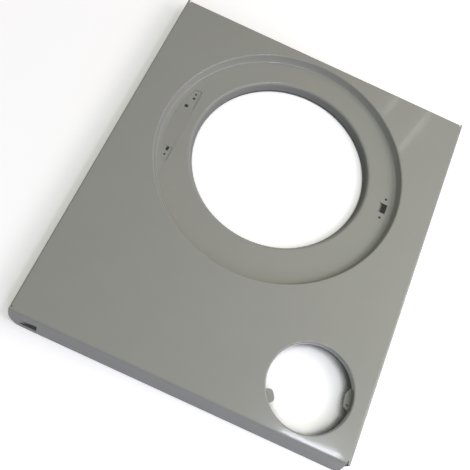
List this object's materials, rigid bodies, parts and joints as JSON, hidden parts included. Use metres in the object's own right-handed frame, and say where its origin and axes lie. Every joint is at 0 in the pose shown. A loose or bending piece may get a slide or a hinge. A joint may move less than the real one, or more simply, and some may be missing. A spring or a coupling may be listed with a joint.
{
  "type": "washing machine front panel",
  "caption": "Pressed and folded steel front panel of a washing machine, with a round door recess and opening, a drain filter opening and folded edges.",
  "frame": {"origin": "middle of the rear plane that the folded edges rest on, with the panel lying face up", "axes": "+X to the right seen from the front, +Y towards the panel's top edge, +Z out of the painted face"},
  "size_m": [0.595, 0.702, 0.038],
  "materials": {
    "panel_paint": "gloss light grey appliance enamel, baked on"
  },
  "bodies": {
    "root": {"front_panel": "panel_paint"}
  },
  "joints": []
}
